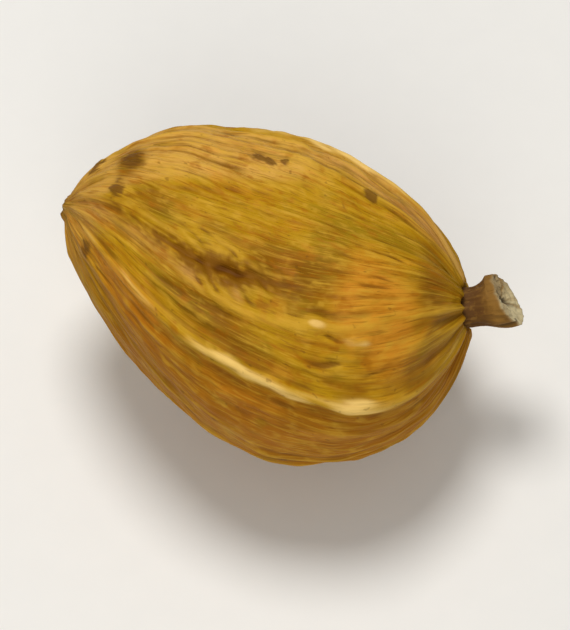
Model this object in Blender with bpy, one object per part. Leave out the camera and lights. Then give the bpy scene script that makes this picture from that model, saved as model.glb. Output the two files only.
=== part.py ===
"""Dried cardamom pod, lying on a small flat spot across the belly of one of its three seams.

It has two pieces: the husk, grown in one with its seams, ribs, crease, blunt tip and stalk collar,
and the stub of the stalk that it hung from, standing in a plain hole in that collar.

Metres, +Z up. The pod lies along X with its stalk towards +X. The origin is under the middle of
the pod, on the surface that it rests on.
"""

import math
import random

import bmesh
import bpy
from mathutils import Matrix, Vector, noise

# Driving sizes of the whole pod
POD_LENGTH = 0.0144
STUB_PROUD = 0.0016
HUSK_RADIUS = 0.00472
HUSK_LENGTH = POD_LENGTH - STUB_PROUD

# The outline, seen from the side: an egg between a blunt nose and the stalk collar
NOSE_RADIUS = 0.00048
NOSE_LENGTH = 0.00015
COLLAR_RADIUS = 0.00124
COLLAR_LENGTH = 0.00012
COLLAR_DOME = 0.00036
TIP_POWER = 0.615
STALK_POWER = 0.465
OUTLINE_BLEND = 3.5

# The section: three blunt corners, each with a seam, and flatter faces between them
CORNERS = 3
CORNER_ANGLE = 2 * math.pi / CORNERS
TRIANGULARITY = 0.075
SHARPNESS = 0.012
TWIST = math.radians(40)

# The belly: the middle of the pod bows towards one side, and that side is fuller near the stalk
BOW = 0.00167
BOW_SKEW = 1.375
BELLY_ANGLE = math.radians(82)
LEAN = 0.36
LEAN_POWER = 1.5

# How the pod lies: on the belly of one seam, with the tip a little raised
ROLL = math.radians(150)
TIP_RAISED = math.radians(6)
FLAT_DEPTH = 0.00065

# The ribs and seams run straighter along the face that shows, and one seam swings towards it
FACE_ANGLE = math.radians(-60)
FACE_WIDTH = math.radians(40)
FACE_DRIFT = math.radians(11)
SEAM_DRIFT = math.radians(8)
SEAM_DRIFT_PLACE = 0.60
SEAM_DRIFT_LENGTH = 0.21
SEAM_DRIFT_WIDTH = math.radians(30)

# Relief raised from the husk
SEAM_HEIGHT = 0.00022
SEAM_WIDTH = 0.00021
SEAM_GROOVE = 0.00013
GROOVE_OFFSET = 0.00052
RIBS_PER_FACE = 10
RIB_HEIGHT = 0.000115
RIB_WIDTH = math.radians(2.1)
RIB_JITTER = math.radians(2.8)
RIB_SWAY = math.radians(2.0)
RIB_MARGIN = math.radians(12)
CREASE_ANGLE = math.radians(-29)
CREASE_SWING = math.radians(-21)
CREASE_SWING_START = 0.25
CREASE_SWING_LENGTH = 0.50
CREASE_DEPTH = 0.00030
CREASE_WIDTH = 0.00026
CREASE_START = 0.04
CREASE_FADE_IN = 0.10
CREASE_END = 0.80
CREASE_FADE_OUT = 0.35
PANEL_DEPTH = 0.00013
PANEL_EDGE = math.radians(-36)
PANEL_SPREAD = math.radians(-76)
PANEL_START = 0.10
PANEL_OPENING = 0.38
PANEL_FADE_IN = 0.08
PANEL_END = 0.85
PANEL_FADE_OUT = 0.30
PANEL_CREASE_EASE = math.radians(14)
PANEL_EDGE_EASE = math.radians(9)
SEED_BULGE = 0.00007
SEEDS_PER_ROW = 5
SEED_ANGLE = math.radians(26)
SEED_START = 0.22
SEED_SPACING = 0.145
SEED_STAGGER = 0.25
SEED_SIZE_ALONG = 0.055
SEED_SIZE_AROUND = math.radians(15)
DENT_DEPTH = 0.00018
DENT_SIZE = 0.0034

# The stalk stub and the plain hole that it stands in
FOOT_RADIUS = 0.00060
FOOT_DEPTH = 0.00080
KNOB_RADIUS = 0.00080
KNOB_FROM = 0.42
KNOB_FADE_IN = 0.35
HOLE_GAP = 0.00030
HOLLOW_DEPTH = 0.00022
STUB_SIDE_SHARE = 0.70
STUB_RIDGES = 6
STUB_RIDGE_HEIGHT = 0.04
STUB_TILT = math.radians(28)
STUB_TILT_ANGLE = math.radians(-98)

# How finely each piece is divided, around and along
HUSK_COLUMNS = 50 * CORNERS
HUSK_RINGS = 32
STUB_COLUMNS = 36
STUB_RINGS = 18

SEED = 418
HUSK_COLOUR = (0.47, 0.27, 0.045, 1.0)
STUB_COLOUR = (0.44, 0.33, 0.16, 1.0)


def clear_scene():
    for old in list(bpy.data.objects):
        bpy.data.objects.remove(old, do_unlink=True)


def new_collection(name):
    collection = bpy.data.collections.new(name)
    bpy.context.scene.collection.children.link(collection)
    return collection


def plant_material(name, colour, roughness):
    material = bpy.data.materials.new(name)
    material.use_nodes = True
    shader = material.node_tree.nodes["Principled BSDF"]
    shader.inputs["Base Color"].default_value = colour
    shader.inputs["Roughness"].default_value = roughness
    shader.inputs["Metallic"].default_value = 0.0
    material.diffuse_color = colour
    return material


def bump(distance, width):
    """A smooth hump of height 1 at distance 0."""
    return math.exp(-((distance / width) ** 2))


def turned(angle):
    """The same angle, between minus and plus half a turn."""
    return math.remainder(angle, 2 * math.pi)


def eased(value):
    """0 below 0, 1 above 1, and smooth between."""
    value = min(max(value, 0.0), 1.0)
    return value * value * (3 - 2 * value)


def round_end(distance, radius, dome, power=2):
    """The radius of a rod with a domed end, at this distance from the end."""
    if distance >= dome:
        return radius
    return radius * max(0.0, 1 - (1 - distance / dome) ** power) ** (1 / power)


def outline_radius(along):
    """The husk's mean radius at this distance from its tip."""
    share = (along - NOSE_LENGTH) / (HUSK_LENGTH - NOSE_LENGTH - COLLAR_LENGTH)
    share = min(max(share, 0.0), 1.0)
    peak = TIP_POWER / (TIP_POWER + STALK_POWER)
    egg = HUSK_RADIUS * (share / peak) ** TIP_POWER * ((1 - share) / (1 - peak)) ** STALK_POWER
    if along < HUSK_LENGTH / 2:
        end = round_end(along, NOSE_RADIUS, NOSE_RADIUS)
    else:
        end = round_end(HUSK_LENGTH - along, COLLAR_RADIUS, COLLAR_DOME, power=3)
    return (egg**OUTLINE_BLEND + end**OUTLINE_BLEND) ** (1 / OUTLINE_BLEND)


def grow_ribs():
    """The ribs' places, heights and sways, drawn once: (angle, height, sway, beat, phase)."""
    draw = random.Random(SEED)
    ribs = []
    room = CORNER_ANGLE - 2 * RIB_MARGIN
    for face in range(CORNERS):
        for number in range(RIBS_PER_FACE):
            angle = face * CORNER_ANGLE + RIB_MARGIN + room * number / (RIBS_PER_FACE - 1)
            angle += draw.uniform(-RIB_JITTER, RIB_JITTER)
            height = RIB_HEIGHT * draw.uniform(0.45, 1.0)
            sway = RIB_SWAY * draw.uniform(0.3, 1.0)
            ribs.append((angle, height, sway, draw.uniform(0.6, 1.5), draw.uniform(0, 1)))
    return ribs


def flow_angle(angle, share):
    """The angle that ribs and seams follow at this place on the husk."""
    drift = max(0.0, TWIST * (share - 0.5) + FACE_DRIFT)
    on_face = bump(turned(angle - FACE_ANGLE), FACE_WIDTH)
    on_seam = bump(turned(angle), SEAM_DRIFT_WIDTH)
    on_seam *= bump(share - SEAM_DRIFT_PLACE, SEAM_DRIFT_LENGTH)
    return angle + drift * on_face + SEAM_DRIFT * on_seam


def rib_relief(angle, share, ribs):
    """Ribs run from end to end, swaying a little, and stand out most on the stalk's half."""
    strength = 0.55 + 0.45 * eased((share - 0.25) / 0.45)
    raised = 0.0
    for base, height, sway, beat, phase in ribs:
        centre = base + sway * math.sin(2 * math.pi * (beat * share + phase))
        raised += height * bump(turned(angle - centre), RIB_WIDTH)
    return strength * raised


def seam_relief(angle, radius):
    """A raised seam on each corner, with a groove along both sides of it."""
    raised = 0.0
    for corner in range(CORNERS):
        arc = turned(angle - corner * CORNER_ANGLE) * radius
        raised += SEAM_HEIGHT * bump(arc, SEAM_WIDTH)
        raised -= SEAM_GROOVE * bump(abs(arc) - GROOVE_OFFSET, SEAM_WIDTH)
    return raised


def crease_centre(share):
    """The angle of the shrinkage crease, which swings away from the low seam."""
    swing = eased((share - CREASE_SWING_START) / CREASE_SWING_LENGTH)
    return CREASE_ANGLE + CREASE_SWING * swing


def crease_relief(angle, share, radius):
    """The shrinkage crease along the face that shows, deepest on the tip's half."""
    along = eased((share - CREASE_START) / CREASE_FADE_IN)
    along *= eased((CREASE_END - share) / CREASE_FADE_OUT)
    across = turned(angle - crease_centre(share)) * radius
    return -CREASE_DEPTH * along * bump(across, CREASE_WIDTH)


def panel_relief(angle, share):
    """The face that shows has sunk between the crease and a rounded edge under the top seam."""
    opened = 1 - math.exp(-max(0.0, share - PANEL_START) / PANEL_OPENING)
    edge = PANEL_EDGE + PANEL_SPREAD * opened
    sunk = eased(turned(crease_centre(share) - angle) / PANEL_CREASE_EASE)
    sunk *= eased(turned(angle - edge) / PANEL_EDGE_EASE)
    sunk *= eased((share - PANEL_START) / PANEL_FADE_IN)
    return -PANEL_DEPTH * sunk * eased((PANEL_END - share) / PANEL_FADE_OUT)


def seed_relief(angle, share):
    """Soft bumps where the two rows of seeds behind each seam press on the husk."""
    raised = 0.0
    for corner in range(CORNERS):
        for side in (-1, 1):
            centre = corner * CORNER_ANGLE + side * SEED_ANGLE
            across = bump(turned(angle - centre), SEED_SIZE_AROUND)
            for number in range(SEEDS_PER_ROW):
                place = SEED_START + SEED_SPACING * (number + SEED_STAGGER * (side + 1))
                raised += SEED_BULGE * across * bump(share - place, SEED_SIZE_ALONG)
    return raised


def husk_point(along_share, angle, ribs):
    """The husk's surface, in the pod's own axes: X from the tip, seam one at angle 0."""
    along = HUSK_LENGTH * along_share
    radius = outline_radius(along)
    fullness = eased(radius / HUSK_RADIUS)
    flow = flow_angle(angle, along_share)
    section = TRIANGULARITY * math.cos(CORNERS * flow) + SHARPNESS * math.cos(2 * CORNERS * flow)
    reach = radius * (1 + fullness * section)
    relief = rib_relief(flow, along_share, ribs)
    relief += seam_relief(flow, radius)
    relief += crease_relief(angle, along_share, radius)
    relief += panel_relief(angle, along_share)
    relief += seed_relief(flow, along_share)
    place = Vector((along, reach * math.cos(angle), reach * math.sin(angle))) / DENT_SIZE
    relief += DENT_DEPTH * noise.noise(place)
    reach += fullness * relief
    turn = angle + TWIST * (along_share - 0.5)
    lean = LEAN * along_share**LEAN_POWER * reach * math.cos(turn - BELLY_ANGLE)
    bow = BOW * math.sin(math.pi * along_share**BOW_SKEW)
    return Vector(
        (
            along + lean,
            reach * math.cos(turn) + bow * math.cos(BELLY_ANGLE),
            reach * math.sin(turn) + bow * math.sin(BELLY_ANGLE),
        )
    )


def stub_point(way, angle):
    """The stalk stub: a foot, a neck, a thicker knob and a shallow hollow in its cut end."""
    length = FOOT_DEPTH + STUB_PROUD
    side = min(way / STUB_SIDE_SHARE, 1.0)
    height = length * side**1.4
    neck = round_end(height, FOOT_RADIUS, FOOT_RADIUS)
    knob = eased((height / length - KNOB_FROM) / KNOB_FADE_IN)
    radius = neck + (KNOB_RADIUS - FOOT_RADIUS) * knob
    if way > STUB_SIDE_SHARE:
        inward = (way - STUB_SIDE_SHARE) / (1 - STUB_SIDE_SHARE)
        radius = KNOB_RADIUS * (1 - inward)
        height = length - HOLLOW_DEPTH * eased(inward / 0.75)
    radius *= 1 + STUB_RIDGE_HEIGHT * math.cos(STUB_RIDGES * angle)
    return Vector((height - FOOT_DEPTH, radius * math.cos(angle), radius * math.sin(angle)))


def shaped_ball(name, columns, rings, place, material, collection):
    """A ball whose points are moved by place(share from pole to pole, angle), its poles along X."""
    shape = bmesh.new()
    bmesh.ops.create_uvsphere(shape, u_segments=columns, v_segments=rings, radius=1.0)
    for vertex in shape.verts:
        x, y, z = vertex.co
        way = math.acos(max(-1.0, min(1.0, -z))) / math.pi
        vertex.co = place(way, math.atan2(y, x))
    mesh = bpy.data.meshes.new(name)
    shape.to_mesh(mesh)
    shape.free()
    mesh.shade_smooth()
    mesh.materials.append(material)
    made = bpy.data.objects.new(name, mesh)
    collection.objects.link(made)
    return made


def make_husk(collection):
    ribs = grow_ribs()

    def place(way, angle):
        return husk_point((1 - math.cos(math.pi * way)) / 2, angle, ribs)

    material = plant_material("dried_husk", HUSK_COLOUR, 0.55)
    return shaped_ball("husk", HUSK_COLUMNS, HUSK_RINGS, place, material, collection)


def make_stub(collection):
    material = plant_material("stalk_fibre", STUB_COLOUR, 0.8)
    return shaped_ball("stalk_stub", STUB_COLUMNS, STUB_RINGS, stub_point, material, collection)


def make_axes(name, collection):
    axes = bpy.data.objects.new(name, None)
    collection.objects.link(axes)
    return axes


def stalk_direction():
    """The way the stub points, in the pod's own axes: out of the stalk end, tilted to one side."""
    aside = math.sin(STUB_TILT)
    return Vector(
        (
            math.cos(STUB_TILT),
            aside * math.cos(STUB_TILT_ANGLE),
            aside * math.sin(STUB_TILT_ANGLE),
        )
    )


def make_cutter(name, mesh, collection):
    cutter = bpy.data.objects.new(name, mesh)
    cutter.hide_render = True
    cutter.display_type = "WIRE"
    collection.objects.link(cutter)
    return cutter


def stub_hole(collection):
    """The plain round hole in the collar, a gap wider and deeper than the stub's foot."""
    shape = bmesh.new()
    radius = FOOT_RADIUS + HOLE_GAP
    depth = 2 * (FOOT_DEPTH + HOLE_GAP)
    along_x = Matrix.Rotation(math.pi / 2, 4, "Y")
    bmesh.ops.create_cone(
        shape,
        cap_ends=True,
        segments=32,
        radius1=radius,
        radius2=radius,
        depth=depth,
        matrix=along_x,
    )
    mesh = bpy.data.meshes.new("stub_hole")
    shape.to_mesh(mesh)
    shape.free()
    return make_cutter("stub_hole", mesh, collection)


def ground_block(collection):
    """A block whose top is the surface that the pod rests on; it trims the small flat spot."""
    shape = bmesh.new()
    bmesh.ops.create_cube(shape, size=2 * POD_LENGTH)
    for vertex in shape.verts:
        vertex.co.z -= POD_LENGTH
    mesh = bpy.data.meshes.new("ground_block")
    shape.to_mesh(mesh)
    shape.free()
    return make_cutter("ground_block", mesh, collection)


def cut(piece, cutter):
    modifier = piece.modifiers.new(cutter.name, "BOOLEAN")
    modifier.operation = "DIFFERENCE"
    modifier.solver = "EXACT"
    modifier.object = cutter


def world_corners(pieces):
    """Lowest and highest corner of these pieces' points, before any cut."""
    points = [piece.matrix_world @ vertex.co for piece in pieces for vertex in piece.data.vertices]
    lowest = Vector([min(point[axis] for point in points) for axis in range(3)])
    highest = Vector([max(point[axis] for point in points) for axis in range(3)])
    return lowest, highest


def lay_down(axes, pieces):
    """Rolls and tips the pod, then centres it over the origin with its flat spot at height 0."""
    axes.rotation_euler = (ROLL, TIP_RAISED, 0)
    bpy.context.view_layer.update()
    lowest, highest = world_corners(pieces)
    middle = (lowest + highest) / 2
    axes.location = (-middle.x, -middle.y, -lowest.z - FLAT_DEPTH)


def main():
    clear_scene()
    pod = new_collection("cardamom_pod")
    cutters = new_collection("cutters")
    axes = make_axes("pod_axes", pod)
    collar_axes = make_axes("collar_axes", pod)
    husk = make_husk(pod)
    stub = make_stub(pod)
    hole = stub_hole(cutters)
    ground = ground_block(cutters)
    husk.parent = axes
    collar_axes.parent = axes
    collar_axes.location = (HUSK_LENGTH, 0, 0)
    collar_axes.rotation_euler = stalk_direction().to_track_quat("X", "Z").to_euler()
    stub.parent = collar_axes
    hole.parent = collar_axes
    lay_down(axes, (husk, stub))
    cut(husk, hole)
    cut(husk, ground)


main()
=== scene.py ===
"""Dresses the dried cardamom pod: a fine ribbed husk and a fibrous stalk stub on a pale floor.

The husk and the stub are drawn finer than the fixed model, on the same surface formula, and stand
for its two nodes. Sizes are in metres; the grain that the materials read is in millimetres. A place
along the husk is a share of its length, from 0 at the tip to 1 at the stalk.
"""

import math
import random

import bpy
import numpy as np
from bpy.props import FloatProperty, FloatVectorProperty, IntProperty, PointerProperty
from mathutils import Euler, Matrix, Vector, noise


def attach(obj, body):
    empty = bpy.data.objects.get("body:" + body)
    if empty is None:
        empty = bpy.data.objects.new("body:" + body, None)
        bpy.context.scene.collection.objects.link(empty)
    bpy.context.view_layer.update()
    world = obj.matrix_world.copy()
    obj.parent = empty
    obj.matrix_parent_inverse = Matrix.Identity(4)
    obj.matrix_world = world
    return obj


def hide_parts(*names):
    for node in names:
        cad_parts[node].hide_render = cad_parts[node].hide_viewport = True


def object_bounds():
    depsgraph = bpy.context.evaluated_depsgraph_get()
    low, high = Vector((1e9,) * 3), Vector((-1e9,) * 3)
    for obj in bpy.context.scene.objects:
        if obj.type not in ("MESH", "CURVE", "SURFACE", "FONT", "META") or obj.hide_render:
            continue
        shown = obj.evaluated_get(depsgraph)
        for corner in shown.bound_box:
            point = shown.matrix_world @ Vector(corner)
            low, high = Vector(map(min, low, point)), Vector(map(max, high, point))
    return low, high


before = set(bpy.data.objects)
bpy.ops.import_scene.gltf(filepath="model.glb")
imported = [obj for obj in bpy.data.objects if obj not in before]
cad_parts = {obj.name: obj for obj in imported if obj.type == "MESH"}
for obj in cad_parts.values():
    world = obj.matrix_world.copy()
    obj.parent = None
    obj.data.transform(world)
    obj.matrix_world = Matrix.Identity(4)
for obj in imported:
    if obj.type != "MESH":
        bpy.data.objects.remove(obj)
CAD_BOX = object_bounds()

bl_info = {
    "name": "Dried cardamom pod",
    "version": (1, 0, 0),
    "blender": (4, 5, 0),
    "location": "View3D > Sidebar > Cardamom",
    "description": "Makes the husk, the stalk stub and the stage of a dried cardamom pod",
    "category": "Add Mesh",
}

MM = 0.001

# The pod's shape, as in the fixed model
POD_LENGTH = 0.0144
STUB_PROUD = 0.0016
HUSK_LENGTH = POD_LENGTH - STUB_PROUD
NOSE_RADIUS = 0.00048
NOSE_LENGTH = 0.00015
COLLAR_RADIUS = 0.00124
COLLAR_LENGTH = 0.00012
COLLAR_DOME = 0.00036
TIP_POWER = 0.615
STALK_POWER = 0.465
OUTLINE_BLEND = 3.5
CORNERS = 3
CORNER_ANGLE = 2 * math.pi / CORNERS
TRIANGULARITY = 0.075
SHARPNESS = 0.012
TWIST = math.radians(40)
BOW = 0.00167
BOW_SKEW = 1.375
BELLY_ANGLE = math.radians(82)
LEAN = 0.36
LEAN_POWER = 1.5
FACE_ANGLE = math.radians(-60)
FACE_WIDTH = math.radians(40)
FACE_DRIFT = math.radians(11)
SEAM_DRIFT = math.radians(8)
SEAM_DRIFT_PLACE = 0.60
SEAM_DRIFT_LENGTH = 0.21
SEAM_DRIFT_WIDTH = math.radians(30)
GROOVE_OFFSET = 0.00052
RIBS_PER_FACE = 10
RIB_WIDTH = math.radians(2.1)
RIB_JITTER = math.radians(2.8)
RIB_SWAY = math.radians(2.0)
RIB_MARGIN = math.radians(12)
RIB_SEED = 418
CREASE_ANGLE = math.radians(-29)
CREASE_SWING = math.radians(-21)
CREASE_SWING_START = 0.25
CREASE_SWING_LENGTH = 0.50
CREASE_WIDTH = 0.00026
CREASE_START = 0.04
CREASE_FADE_IN = 0.10
CREASE_END = 0.80
CREASE_FADE_OUT = 0.35
PANEL_DEPTH = 0.00013
PANEL_EDGE = math.radians(-36)
PANEL_SPREAD = math.radians(-76)
PANEL_START = 0.10
PANEL_OPENING = 0.38
PANEL_FADE_IN = 0.08
PANEL_END = 0.85
PANEL_FADE_OUT = 0.30
PANEL_CREASE_EASE = math.radians(14)
PANEL_EDGE_EASE = math.radians(9)
SEEDS_PER_ROW = 5
SEED_BULGE = 0.00007
SEED_ANGLE = math.radians(26)
SEED_START = 0.22
SEED_SPACING = 0.145
SEED_STAGGER = 0.25
SEED_SIZE_ALONG = 0.055
SEED_SIZE_AROUND = math.radians(15)
DENT_DEPTH = 0.00018
DENT_SIZE = 0.0034

# Where the pod's own axes lie in the frame: the fixed model sets them down on the flat spot
AXES_PLACE = Vector((-0.00724642, 0.00105181, 0.00684900))
AXES_TURN = Euler((math.radians(150), math.radians(6), 0))

# The stub's shape, as in the fixed model
FOOT_RADIUS = 0.00060
FOOT_DEPTH = 0.00080
KNOB_FROM = 0.42
KNOB_FADE_IN = 0.35
STUB_SIDE_SHARE = 0.70
STUB_TILT = math.radians(28)
STUB_TILT_ANGLE = math.radians(-98)

# The stub's finer shape, which the fixed model leaves out
BREAK_SLOPE = 0.4
BREAK_LIMIT = 0.00003
TORN_HEIGHT = 0.00006
END_FIBRE_HEIGHT = 0.00003
OVAL = 0.10
OVAL_ANGLE = 0.4
SLIT_ANGLE = 0.5
SLIT_HALF_WIDTH = 0.00016
SLIT_HALF_LENGTH = 0.00042
BARE_FOOT = 0.0004

# Splits down the side of the knob: the angle and half width of each, in radians
SPLITS = ((0.6, 0.10), (-2.2, 0.07))
SPLIT_DEPTH = 0.00012

# Veins between the ribs, and the thin crest along each rib
VEINS = 84
VEIN_WIDTH = math.radians(0.75)
VEIN_SEED = 7
RIB_CREST_WIDTH = RIB_WIDTH / 2.2

# The grain wanders this far, and the paper swells this much along it
GRAIN_WANDER = 0.00010
SWELL_HEIGHT = 0.00006

# The shrinkage crease: its floor, lips and stain, and the gap beside it in the ribs' crests
CREASE_DEEPEST = 0.43
CREASE_FLOOR_DEPTH = 0.00011
CREASE_FLOOR_WIDTH = 0.00010
CREASE_WAVER = 0.00014
LIP_HEIGHT = 0.00004
LIP_OFFSET = 0.00034
LIP_WIDTH = 0.00015
STAIN_WIDTH = 0.00042
RIB_GAP_OFFSET = 0.0005
RIB_GAP_WIDTH = 0.0006

# Short folds, each with a raised edge along both sides
FOLD_DEPTH = 0.00009
FOLD_WIDTH = math.radians(0.9)
FOLD_WAVER = math.radians(2.2)
FOLD_EDGE_HEIGHT = 0.00004
FOLD_EDGE_OFFSET = math.radians(2.6)
FOLD_EDGE_WIDTH = math.radians(1.2)

# The step where the sunken part of the face starts
STEP_DEPTH = 0.00006
STEP_OFFSET = math.radians(5)
STEP_WIDTH = math.radians(3)
STEP_FADE_IN = 0.06
STEP_END = 0.80
STEP_FADE_OUT = 0.40

# The seams' thin crest, and the line beside it
CREST_HEIGHT = 0.00006
CREST_WIDTH = 0.00009
CREST_WAVER = 0.00005
CREST_SHIVER = 0.00003
SIDE_LINE_HEIGHT = 0.00002
SIDE_LINE_OFFSET = 0.00075
SIDE_LINE_WIDTH = 0.00008

# Worn bumps, flakes, the puckers at both ends and the scar at the tip
BUMP_HEIGHT = 0.00011
FLAKE_HEIGHT = 0.00005
PUCKER_HEIGHT = 0.00007
TIP_PUCKER_LENGTH = 0.10
TIP_PUCKERS = 11
STALK_PUCKER_LENGTH = 0.075
STALK_PUCKERS = 15
SCAR_HEIGHT = 0.00008

# The tip's torn rim and shallow pit
TIP_ROUGHNESS = 0.00014
TORN_LENGTH = 0.0009
TORN_FADE = 0.0004
RIM_RADIUS = 0.00036
RIM_WIDTH = 0.00013
PIT_RADIUS = 0.00018

# The dip in the collar that the stub stands in
DIP_DEPTH = 0.00035
DIP_RADIUS = 0.00050
DIP_EDGE = 0.00034
DIP_BACK = -0.002

# Grooves and ridges are told apart over one part of a ring in this many, and at this height
CAVITY_PARTS = 90
CAVITY_HEIGHT = 0.00005
BROAD_PARTS = 30
BROAD_HEIGHT = 0.00010

# Each noise: the size of its lumps, or across, across and along the grain, and a shift
WANDER_NOISE = (0.0030, 3.1)
BROKEN_RIB_NOISE = ((0.0010, 0.0010, 0.0015), 59.0)
WORN_RIB_NOISE = ((0.0007, 0.0007, 0.0022), 53.0)
VEIN_GAP_NOISE = ((0.0006, 0.0006, 0.0016), 63.0)
LONG_VEIN_NOISE = ((0.00042, 0.00042, 0.0036), 0.0)
THREAD_NOISE = ((0.00017, 0.00017, 0.0018), 7.7)
PATCHY_NOISE = ((0.0016, 0.0016, 0.0030), 5.0)
CRUMPLE_NOISE = ((0.00095, 0.00095, 0.0016), 15.0)
SMALL_CRUMPLE_NOISE = ((0.00050, 0.00050, 0.00085), 25.0)
WRINKLE_NOISE = ((0.00070, 0.00070, 0.00034), 11.0)
WRINKLED_NOISE = ((0.0022, 0.0022, 0.0030), 2.0)
SWELL_NOISE = ((0.0011, 0.0011, 0.0034), 21.0)
RAGGED_NOISE = ((0.0009, 0.0009, 0.0006), 31.0)
CREASE_WAVER_NOISE = (0.0007, 36.0)
FOLD_WAVER_NOISE = ((0.0006, 0.0006, 0.0008), 33.0)
FRAYED_NOISE = ((0.00016, 0.00016, 0.00060), 57.0)
WORN_SEAM_NOISE = (0.0012, 46.0)
SEAM_FIBRE_NOISE = ((0.00012, 0.00012, 0.0008), 77.0)
FLAKE_EDGE_NOISE = ((0.00030, 0.00030, 0.00045), 41.0)
FLAKE_RAG_NOISE = ((0.00012, 0.00012, 0.00020), 43.0)
SCAR_NOISE = (0.0004, 91.0)
TORN_RIM_NOISE = (0.00028, 95.0)
TORN_BITS_NOISE = (0.00013, 97.0)
STUB_FIBRE_NOISE = ((0.00016, 0.00016, 0.0011), 51.0)
STUB_LUMP_NOISE = ((0.0005, 0.0005, 0.0006), 61.0)
STUB_TORN_NOISE = (0.00022, 71.0)
STUB_END_NOISE = (0.00010, 81.0)

# Soft colour marks on the husk: share, degrees, half length in share, half width in degrees, strength
ORANGE_MARKS = (
    (0.82, -50, 0.09, 22, 1.3),
    (0.88, -26, 0.07, 22, 0.5),
    (0.26, 12, 0.08, 9, 0.8),
    (0.57, 12, 0.09, 9, 0.7),
    (0.55, 3, 0.06, 4, 0.8),
    (0.20, 6, 0.10, 9, 1.0),
)
OLIVE_MARKS = (
    (0.87, -88, 0.07, 7, 1.0),
    (0.73, -80, 0.07, 8, 0.9),
    (0.71, -62, 0.07, 10, 1.2),
    (0.24, -45, 0.08, 10, 1.0),
    (0.33, -14, 0.10, 5, 0.9),
    (0.70, 2, 0.20, 8, 0.8),
)
BROWN_MARKS = (
    (0.61, -50, 0.10, 11, 1.5),
    (0.24, -46, 0.06, 9, 0.6),
    (0.71, -63, 0.05, 7, 0.5),
    (0.40, -51, 0.07, 5, 0.6),
    (0.44, -36, 0.07, 5, 1.0),
    (0.15, -68, 0.028, 12, 0.8),
    (0.14, -77, 0.028, 13, 1.1),
    (0.13, -50, 0.018, 24, 0.4),
    (0.44, -17, 0.18, 8, 0.9),
    # This one darkens a crescent just before the stalk end
    (0.945, -62, 0.030, 48, 0.9),
    (0.91, -14, 0.035, 12, 0.9),
)
PINK_MARKS = (
    (0.362, -25, 0.035, 4.0, 0.8),
    (0.49, -31, 0.022, 3.0, 0.9),
    (0.10, -22, 0.05, 12, 0.8),
    (0.20, -22, 0.06, 6, 0.7),
    (0.29, -24, 0.06, 5, 0.5),
    # These two lie on the rim by the top seam: partly a painted highlight along the top edge
    (0.74, -114, 0.14, 6, 0.7),
    (0.92, -112, 0.08, 9, 0.9),
)
TONE_MARKS = {
    "orange": ORANGE_MARKS,
    "olive": OLIVE_MARKS,
    "brown": BROWN_MARKS,
    "pink": PINK_MARKS,
}

# The paler rim beside the top seam, which takes the tan of the shoulder; partly a painted highlight
# along the top edge
RIM_TAN_AND_HIGHLIGHT_MARKS = (
    (0.58, -104, 0.03, 5, 0.8),
    (0.60, -113, 0.12, 7, 1.0),
    (0.83, -115, 0.12, 8, 1.1),
    (0.97, -118, 0.05, 12, 0.9),
)

# Worn bumps that catch the light beside the crease, in the same terms as the marks; a highlight is
# also painted on them, partly their paler worn tops
WORN_BUMPS = (
    (0.693, -37.0, 0.024, 2.6, 1.4),
    (0.785, -33.5, 0.034, 2.3, 1.1),
    (0.487, -31.0, 0.016, 2.0, 0.8),
)

# Short folds: share, degrees, half length in share, slant in degrees for each share, depth
SHORT_FOLDS = (
    (0.33, -36, 0.030, 70, 0.7),
    (0.37, -40, 0.035, 40, 0.8),
    (0.42, -29, 0.035, 60, 0.9),
    (0.39, -25.5, 0.030, 20, 0.7),
    (0.47, -44, 0.035, 50, 0.7),
    (0.50, -35, 0.025, 90, 0.6),
    (0.545, -41, 0.035, 30, 0.8),
    (0.743, -33.0, 0.045, 20, 0.9),
    (0.740, -24.0, 0.050, -5, 0.8),
    (0.797, -20.5, 0.045, -15, 0.7),
    (0.770, -29.0, 0.050, 10, 0.7),
    (0.750, -73.5, 0.060, 10, 1.0),
    (0.860, -63.0, 0.045, 0, 0.9),
    (0.800, -53.0, 0.065, 10, 0.2),
    (0.860, -76.0, 0.045, 15, 1.0),
    (0.720, -104.0, 0.080, -8, 0.5),
    (0.880, -103.0, 0.070, 5, 0.7),
    (0.820, -59.0, 0.060, 5, 0.2),
    (0.60, -88, 0.060, 25, 0.6),
    (0.41, -45.5, 0.050, 30, 0.7),
)

# Small brown flakes: share, degrees, half length in share, half width in degrees
FLAKES = (
    (0.470, -95.5, 0.024, 3.0),
    (0.515, -96.5, 0.020, 2.6),
    (0.550, -98.5, 0.014, 1.5),
    (0.797, -104.0, 0.020, 3.0),
    (0.146, -73.0, 0.028, 11.0),
    (0.130, -44.0, 0.018, 8.0),
    (0.090, 12.0, 0.014, 8.0),
    (0.060, -88.0, 0.016, 16.0),
    (0.62, 32.0, 0.010, 1.6),
    (0.30, 75.0, 0.012, 2.4),
    (0.55, 150.0, 0.014, 2.0),
    (0.70, 95.0, 0.012, 2.0),
)

# The stage: the floor, the studio's dim surroundings, and the camera
FLOOR_HALF = 0.6
FLOOR_GRAIN = 900.0
FLOOR_DARKENING = 0.97
SURROUND_COLOUR = "#f4f3f1"
SURROUND_STRENGTH = 0.27
CAMERA_LENS = 250
CAMERA_DISTANCE = 0.135
CAMERA_NEAR = 0.005
CAMERA_FAR = 5.0

# How deep the materials' fine bumps look
HUSK_BUMP_DISTANCE = 0.000030
STUB_BUMP_DISTANCE = 0.00003


def linear(code):
    """An sRGB hex value as the linear colour that shaders and lights take."""
    channels = [int(code[place : place + 2], 16) / 255 for place in (1, 3, 5)]
    return tuple(c / 12.92 if c <= 0.04045 else ((c + 0.055) / 1.055) ** 2.4 for c in channels)


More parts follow.
